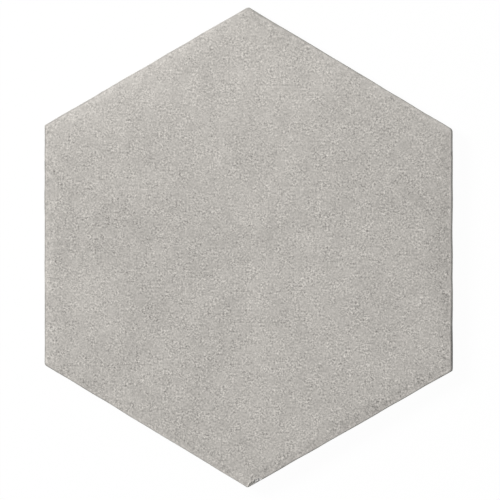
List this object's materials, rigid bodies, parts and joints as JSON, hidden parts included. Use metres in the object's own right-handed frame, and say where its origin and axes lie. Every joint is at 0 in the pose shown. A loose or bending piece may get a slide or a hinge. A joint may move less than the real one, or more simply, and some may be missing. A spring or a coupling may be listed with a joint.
{
  "type": "hexagon floor tile",
  "caption": "Regular hexagonal porcelain floor tile with a flat matt face, a shallow cushion edge, upright sides and a back keyed with hexagonal cells.",
  "frame": {"origin": "middle of the tile's back, on the surface that it lies on", "axes": "+Z out of the wearing face, +Y towards one corner, +X square to one side"},
  "size_m": [0.216, 0.249, 0.009],
  "materials": {
    "porcelain": "matt, unglazed, fine speckle"
  },
  "bodies": {
    "root": {"hexagon_tile": "porcelain"}
  },
  "joints": []
}
